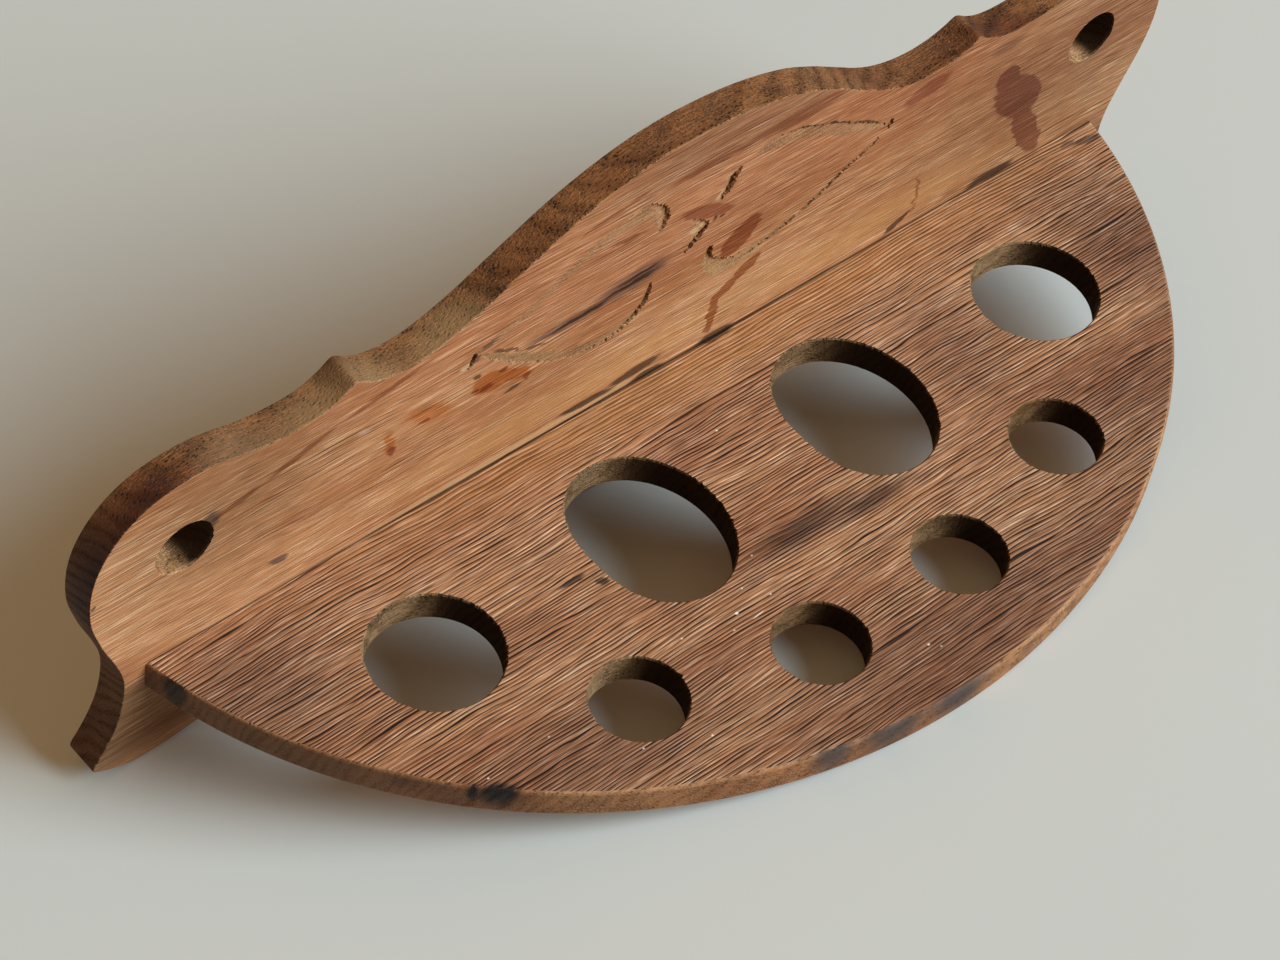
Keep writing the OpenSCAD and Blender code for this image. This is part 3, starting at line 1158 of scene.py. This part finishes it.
# The shelf's curved front: sawn, then rubbed smooth by hands, orange where it shines, dotted by pores.
SHELF_EDGE = replace(
    SHELF_FACE,
    name="oak_rubbed_edge",
    tones=Tones("#c48d62", "#ad764b", "#a06b43", "#47291a", "#d8c8bc"),
    figure=Figure(
        gap=2.4, length=40.0, cut=Cut.ACROSS, fibre=0.18, pore_gap=0.9,
        pore_length=2.2, pores=0.8, ridge=0.1,
    ),
    relief=0.4,
    roughness=0.55,
    torn=TornOrShaded.END_GRAIN,
    torn_or_shaded_colour="#573a22",
    torn_or_shaded_share=0.85,
    speckle=0.7,
    stains=EDGE_BURNS,
)

# The shelf's rims: rubbed pale by hands, and painted paler still as a highlight along the arris.
SHELF_RIM = replace(
    SHELF_EDGE,
    name="oak_rubbed_arris_painted_highlight",
    tones=Tones("#cf9970", "#ba855e", "#a7744e", "#5a3822", "#dfd2c8"),
    speckle=0.4,
)

# The walls of the spoon holes: as rough as the hanging holes', a duller, darker brown, partly from years of
# handling and partly painted shade inside the holes, and near black with painted shade on the walls that
# face -X.
SHELF_BORE = replace(
    BOARD_BORE,
    name="oak_bored_wall",
    lay=Lay.FLAT,
    # Darker tones, partly painted shade inside the holes.
    tones=Tones("#a68566", "#957354", "#816243", "#2f1e12", "#dccfc2"),
    # The painted shade on the walls that face -X begins further round here.
    torn_or_shaded_from=(-0.2, -0.85),
    speckle=0.65,
)

# Two hearts that lie on their sides, and the mark between them.
HEART_LINES = (
    Gouge(
        (
            (-65.0, 49.6, 1.2, 0.5), (-60.0, 50.8, 1.8, 0.5), (-50.5, 54.0, 2.2, 0.3),
            (-40.0, 60.0, 2.8, 0.3), (-28.0, 65.2, 3.6, 0.35), (-20.0, 67.6, 4.4, 0.45),
            (-13.0, 68.0, 5.0, 0.8), (-8.6, 65.4, 5.2, 1.2), (-7.0, 61.6, 4.6, 1.2),
            (-7.6, 57.8, 2.0, 0.5),
        ),
        steep=1,
    ),
    Gouge(
        (
            (-63.0, 47.4, 1.4, 0.5), (-58.0, 43.6, 2.4, 0.35), (-51.0, 38.6, 3.2, 0.35),
            (-43.0, 33.6, 3.4, 0.35), (-36.0, 29.6, 3.4, 0.35), (-28.0, 27.2, 3.4, 0.35),
            (-19.0, 26.4, 3.0, 0.6), (-13.4, 28.4, 2.8, 0.9), (-9.2, 32.0, 2.6, 1.0),
            (-8.0, 36.0, 2.2, 0.9), (-7.6, 39.0, 1.2, 0.4),
        ),
        steep=-1,
    ),
    Gouge(
        (
            (71.6, 50.2, 1.2, 0.5), (66.0, 52.6, 2.6, 0.5), (58.0, 56.6, 4.0, 0.55),
            (50.0, 61.0, 4.2, 0.5), (40.0, 65.2, 4.2, 0.45), (30.0, 67.6, 3.8, 0.4),
            (23.0, 67.6, 1.8, 0.2),
        ),
        steep=-1,
    ),
    Gouge(
        ((19.0, 65.6, 1.2, 0.5), (15.8, 63.2, 3.4, 1.4), (15.0, 60.0, 3.6, 1.3), (12.6, 57.2, 1.8, 0.4)),
        steep=1,
        ragged=0.6,
    ),
    Gouge(
        (
            (70.4, 46.0, 1.0, 0.5), (65.0, 43.2, 1.5, 0.7), (60.0, 41.0, 1.6, 0.7),
            (51.4, 36.4, 1.6, 0.7), (45.0, 33.2, 1.5, 0.65), (38.0, 30.8, 1.4, 0.6),
            (30.0, 28.9, 1.2, 0.5), (24.0, 27.6, 0.8, 0.3),
        ),
        steep=1,
    ),
    Gouge(
        (
            (40.0, 32.0, 1.2, 0.25), (34.0, 30.2, 2.4, 0.4), (28.0, 28.8, 3.6, 0.5),
            (22.0, 28.2, 4.6, 0.55), (16.4, 30.0, 5.0, 0.7), (12.6, 33.8, 4.4, 1.2),
            (12.0, 37.4, 3.4, 1.4), (13.0, 40.2, 1.4, 0.5),
        ),
        steep=-1,
    ),
    Gouge(
        ((-65.6, 49.8, 1.2, 0.6), (-66.2, 47.2, 1.9, 1.1), (-67.6, 44.8, 1.0, 0.4)),
        steep=1,
        ragged=0.6,
    ),
    Gouge(
        ((74.2, 51.0, 1.0, 0.5), (73.8, 49.4, 1.9, 1.2), (73.0, 47.6, 1.0, 0.4)),
        steep=1,
        ragged=0.6,
    ),
    Gouge(
        ((3.8, 54.9, 1.2, 0.5), (6.2, 52.6, 2.3, 1.3), (8.8, 50.2, 2.4, 1.4), (9.8, 49.0, 1.2, 0.5)),
        steep=1,
        ragged=0.6,
    ),
    Gouge(
        ((9.6, 50.0, 1.2, 0.5), (7.9, 48.0, 2.4, 1.4), (5.6, 45.8, 2.2, 1.3), (2.8, 43.2, 1.0, 0.4)),
        steep=1,
        ragged=0.6,
    ),
)

SCREW_X = 138.0
SCREW_Z = -42.25
SCREW_HOLES = tuple(ScrewHole((x, SCREW_Z)) for x in (-SCREW_X, 0.0, SCREW_X))


@dataclass
class BackBoard:
    """The upright board: a scrolled outline, hanging holes and two carved hearts. Lengths are in mm."""

    name: str = "back_board_carved"
    hump_z: float = 50.5
    right_lift: float = 1.8
    right_flank: tuple[Pair, Pair] = ((0.63, 0.0), (0.32, 0.0))
    left_flank: tuple[Pair, Pair] = ((0.46, 0.0), (0.24, 0.0))
    hollow: Pair = (86.0, 21.0)
    peak: Pair = (103.5, 27.5)
    dip: Pair = (119.5, 21.0)
    lobe: Pair = (151.0, 25.5)
    side: Pair = (180.0, -3.5)
    waist: Pair = (169.2, -43.5)
    tip: Pair = (178.8, -70.5)
    foot: Pair = (162.3, -76.5)
    arch: Pair = (86.0, -61.5)
    middle_z: float = -76.5
    hang_x: float = 152.5
    hang_r: float = 8.0
    hang_sides: int = 120
    arris: float = 0.45
    saw_wander: float = 0.22
    worn: int = 7
    steps: int = 26

    def build(self) -> bpy.types.Object:
        """Builds and dresses the board.

        Returns:
            The board.
        """
        low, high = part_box("back_board")
        face_y, back_y = low.y / MM, high.y / MM
        outline = [(x, back_y, z) for x, z in self._outline()]
        shape = plate(outline, (0.0, face_y - back_y, 0.0))
        rims = [e for e in shape.edges if abs(e.verts[0].co.y - e.verts[1].co.y) < 0.1]
        ease(shape, rims, self.arris)
        mark(shape, Lay.UPRIGHT)
        finishes = (BOARD_FACE, BOARD_EDGE, BOARD_BORE, BOARD_RIM, BOARD_CARVED)
        board = mesh_object(self.name, shape, [finish.material() for finish in finishes])
        half = (self.hang_r, self.hang_r)
        holes = [Bore((x, 0.0), half, sides=self.hang_sides) for x in (-self.hang_x, self.hang_x)]
        cutters = [hole.cutter(-back_y, -face_y, Lay.UPRIGHT) for hole in holes]
        cutters += [hole.cutter() for hole in SCREW_HOLES]
        cutters += [line.cutter(face_y, SHELF_TOP_Z) for line in HEART_LINES]
        cut_away(board, cutters)
        settle(board, "back_board")
        return board

    def _outline(self) -> list[Pair]:
        """Draws the outline, with worn corners and the saw's wander.

        Returns:
            Points from the middle of the top, round to it again.
        """
        right = self._side(self.right_flank, self.right_lift)
        left = self._side(self.left_flank, 0.0)
        points = right + [Vector((-p.x, p.y)) for p in reversed(left[1:-1])]
        for _ in range(self.worn):
            before = points[-1:] + points
            after = points[1:] + points[:1]
            points = [(a + 2 * b + c) / 4 for a, b, c in zip(before, points, after)]
        return [self._wandered(point) for point in points]

    def _side(self, flank: tuple[Pair, Pair], lift: float) -> list[Vector]:
        """Draws one half of the outline, as if it were the right one.

        Args:
            flank: How the hump's side leaves its top and reaches the hollow, as shares of that step.
            lift: How much higher the hand-sawn top edge runs beside the hump.

        Returns:
            Points from the middle of the top to the middle of the bottom.
        """
        raised = (self.hollow[0], self.hollow[1] + lift)
        dip = (self.dip[0], self.dip[1] + lift / 2)
        knots = (
            (0.0, self.hump_z), raised, self.peak, dip, self.lobe, self.side,
            self.waist, self.tip, self.foot, self.arch, (0.0, self.middle_z),
        )
        shares = (
            flank,
            ((0.5, 0.0), (0.23, 0.55)),
            ((0.25, 0.55), (0.5, 0.0)),
            ((0.5, 0.0), (0.45, 0.0)),
            ((0.6, 0.0), (0.0, 0.55)),
            ((0.0, 0.42), (0.0, 0.3)),
            ((0.0, 0.5), (0.44, 0.22)),
            ((0.24, 0.57), (0.4, 0.0)),
            ((0.4, 0.0), (0.45, 0.0)),
            ((0.45, 0.0), (0.5, 0.0)),
        )
        points = []
        for start, end, (leave, arrive) in zip(knots, knots[1:], shares):
            run = Vector(end) - Vector(start)
            first = Vector(start) + run * Vector(leave)
            second = Vector(end) - run * Vector(arrive)
            points += interpolate_bezier(Vector(start), first, second, Vector(end), self.steps)[:-1]
        return [*points, Vector(knots[-1])]

    def _wandered(self, point: Vector) -> Pair:
        """Moves a point of the outline by the saw's wander, towards the middle of the board.

        Args:
            point: The point.

        Returns:
            The point's place.
        """
        noise_layer = 3.0
        waves_per_mm = 0.11
        off = noise.noise(Vector((point.x, point.y, noise_layer)) * waves_per_mm) - 1.0
        inward = point.normalized() * self.saw_wander * off
        return (point.x + inward.x, point.y + inward.y)


@dataclass
class Shelf:
    """The shelf: a half ellipse with eight spoon holes. Lengths are in mm."""

    name: str = "shelf_scrubbed"
    centre_y: float = 20.0
    half_depth: float = 153.0
    half_length: float = 163.0
    round_at: Pair = (103.9, -48.0)
    round_r: float = 17.5
    oval_at: Pair = (35.4, -49.6)
    oval_half: Pair = (20.1, 24.3)
    oval_flat: float = 1.8
    small_at: tuple[Pair, ...] = ((24.1, -101.7), (72.3, -88.1))
    small_r: float = 12.5
    small_sides: int = 240
    front_arris: float = 1.3
    rear_arris: float = 0.45
    steps: int = 220

    def build(self) -> bpy.types.Object:
        """Builds and dresses the shelf.

        Returns:
            The shelf.
        """
        low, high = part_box("shelf")
        under_z, top_z, rear_y = low.z / MM, high.z / MM, high.y / MM
        shape = plate([(x, y, under_z) for x, y in self._outline(rear_y)], (0.0, 0.0, top_z - under_z))
        flat = [e for e in shape.edges if abs(e.verts[0].co.z - e.verts[1].co.z) < 0.1]
        ease(shape, [e for e in flat if e.calc_length() < self.half_length], self.front_arris)
        ease(shape, [e for e in shape.edges if e.calc_length() > self.half_length], self.rear_arris)
        mark(shape, Lay.FLAT)
        finishes = (SHELF_FACE, SHELF_EDGE, SHELF_BORE, SHELF_RIM)
        shelf = mesh_object(self.name, shape, [finish.material() for finish in finishes])
        cutters = [hole.cutter(under_z, top_z, Lay.FLAT) for hole in self._holes()]
        cutters += [hole.cutter() for hole in SCREW_HOLES]
        cut_away(shelf, cutters)
        settle(shelf, "shelf")
        return shelf

    def _outline(self, rear_y: float) -> list[Pair]:
        """Draws the outline.

        Args:
            rear_y: Where the shelf's rear edge is.

        Returns:
            Points from the rear left corner, along the curved front, to the rear right one.
        """
        reach = self.centre_y - rear_y
        half_width = self.half_length / math.sqrt(1 - (reach / self.half_depth) ** 2)
        first = math.asin(reach / self.half_depth)
        turns = [first + (math.pi - 2 * first) * step / self.steps for step in range(self.steps + 1)]
        return [(-half_width * math.cos(a), self.centre_y - self.half_depth * math.sin(a)) for a in turns]

    def _holes(self) -> list[Bore]:
        """Lists the spoon holes.

        Returns:
            The eight holes.
        """
        holes = []
        for way in (-1, 1):
            holes.append(Bore((way * self.round_at[0], self.round_at[1]), (self.round_r, self.round_r)))
            oval_at = (way * self.oval_at[0], self.oval_at[1])
            holes.append(Bore(oval_at, self.oval_half, flat=self.oval_flat))
            half = (self.small_r, self.small_r)
            holes += [Bore((way * x, y), half, sides=self.small_sides) for x, y in self.small_at]
        return holes


@dataclass
class ShelfScrews:
    """The three screws through the back board into the shelf, which keep their CAD shape."""

    finish: ZincFinish = ZincFinish()

    def dress(self) -> None:
        """Gives the screws their plating."""
        screws = frame["nodes"]["shelf_screws"]
        material = self.finish.material()
        for slot in screws.material_slots:
            slot.material = material
        log.info("%s: %s", screws.name, material.name)


@dataclass
class Studio:
    """The pale floor that the rack leans on, the light from the right and the camera. Lengths are in mm."""

    heel: Pair = (-10.0, -76.5)
    nose: Pair = (-133.0, -47.0)
    floor_r: float = 900.0
    floor_sides: int = 96
    mottles_per_m: float = 6.0
    floor_colour: str = "#e6e7e4"
    backdrop_level: float = 0.74
    room_light: float = 0.27
    room_colour: str = "#ffd29a"
    key_azimuth_deg: float = 144.0
    key_height_deg: float = 38.0
    key_distance: float = 7000.0
    key_size: Pair = (5950.0, 3850.0)
    key_level: float = 1.45
    key_colour: str = "#e1f6ff"
    eye: Triple = (-498.319, -448.65, 715.558)
    aim: Triple = (-27.323, -36.006, -37.5)
    roll_deg: float = 10.563
    lens: float = 108.13
    sensor: float = 36.0

    def build(self) -> None:
        """Builds the floor, the light and the camera."""
        self._floor()
        self._light()
        self._camera()
        bpy.context.scene.view_settings.view_transform = "Standard"

    def _floor(self) -> None:
        """Builds the floor, which can be seen from above only."""
        slope = math.atan2(self.nose[1] - self.heel[1], self.nose[0] - self.heel[0])
        shape = bmesh.new()
        bmesh.ops.create_circle(shape, cap_ends=True, segments=self.floor_sides, radius=self.floor_r)
        turn = Matrix.Rotation(slope - math.pi, 4, "X")
        turn.translation = (0.0, self.heel[0], self.heel[1])
        bmesh.ops.transform(shape, matrix=turn, verts=shape.verts)
        material, tree = empty_material("pale_matt_laminate")
        place = add_node(tree, "TexCoord", out="Object")
        inputs = {"Vector": place, "Scale": self.mottles_per_m, "Detail": 3.0}
        mottle = add_node(tree, "TexNoise", inputs)
        shade = add_node(tree, "MapRange", {0: mottle, 3: 0.97, 4: 1.0})
        inputs = {0: 1.0, UNDER: linear(self.floor_colour), OVER: shade}
        colour = add_node(tree, "Mix", inputs, **COLOUR_MIX, blend_type="MULTIPLY")
        inputs = {"Base Color": colour, "Roughness": 0.8, "Specular IOR Level": 0.2}
        matt = add_node(tree, "BsdfPrincipled", inputs)
        behind = add_node(tree, "NewGeometry", out="Backfacing")
        inputs = {0: behind, 1: matt, 2: add_node(tree, "BsdfTransparent")}
        add_node(tree, "OutputMaterial", {"Surface": add_node(tree, "MixShader", inputs)})
        floor = mesh_object("floor", shape, [material])
        if floor.data.polygons[0].normal.z < 0:
            floor.data.flip_normals()

    def _light(self) -> None:
        """Builds the soft window light from the right, and a room that lights the rest more warmly."""
        aim = Vector(self.aim) * MM
        turn, height = math.radians(self.key_azimuth_deg), math.radians(self.key_height_deg)
        level = math.cos(height)
        way = Vector((level * math.sin(turn), level * math.cos(turn), math.sin(height)))
        distance = self.key_distance * MM
        lamp = bpy.data.lights.new("window_light", "AREA")
        lamp.shape = "ELLIPSE"
        lamp.size, lamp.size_y = [size * MM for size in self.key_size]
        lamp.energy = self.key_level * (math.pi * distance) ** 2
        lamp.color = linear(self.key_colour)[:3]
        key = bpy.data.objects.new("window_light", lamp)
        key.location = aim + way * distance
        key.rotation_euler = way.to_track_quat("Z", "Y").to_euler()
        bpy.context.scene.collection.objects.link(key)
        world = bpy.data.worlds.new("pale_room")
        bpy.context.scene.world = world
        world.use_nodes = True
        tree = world.node_tree
        tree.nodes.clear()
        inputs = {"Color": linear(self.room_colour), "Strength": self.room_light}
        light = add_node(tree, "Background", inputs)
        inputs = {"Color": linear(self.floor_colour), "Strength": self.backdrop_level}
        pale = add_node(tree, "Background", inputs)
        seen = add_node(tree, "LightPath", out="Is Camera Ray")
        for kind in ("Glossy", "Transmission"):
            ray = add_node(tree, "LightPath", out=f"Is {kind} Ray")
            seen = add_node(tree, "Math", {0: seen, 1: ray}, operation="MAXIMUM")
        inputs = {0: seen, 1: light, 2: pale}
        add_node(tree, "OutputWorld", {"Surface": add_node(tree, "MixShader", inputs)})

    def _camera(self) -> None:
        """Builds the camera at the photograph's viewing angle."""
        lens = bpy.data.cameras.new("camera")
        lens.sensor_width = self.sensor
        lens.lens = self.lens
        camera = bpy.data.objects.new("camera", lens)
        look = (Vector(self.aim) - Vector(self.eye)).to_track_quat("-Z", "Y").to_matrix().to_4x4()
        roll = Matrix.Rotation(math.radians(self.roll_deg), 4, "Z")
        camera.matrix_world = Matrix.Translation(Vector(self.eye) * MM) @ look @ roll
        bpy.context.scene.collection.objects.link(camera)
        bpy.context.scene.camera = camera


def main() -> None:
    """Builds the rack and its studio."""
    logging.basicConfig(level=logging.INFO, format="%(name)s: %(message)s")
    Studio().build()
    BackBoard().build()
    Shelf().build()
    ShelfScrews().dress()


if __name__ == "__main__":
    main()
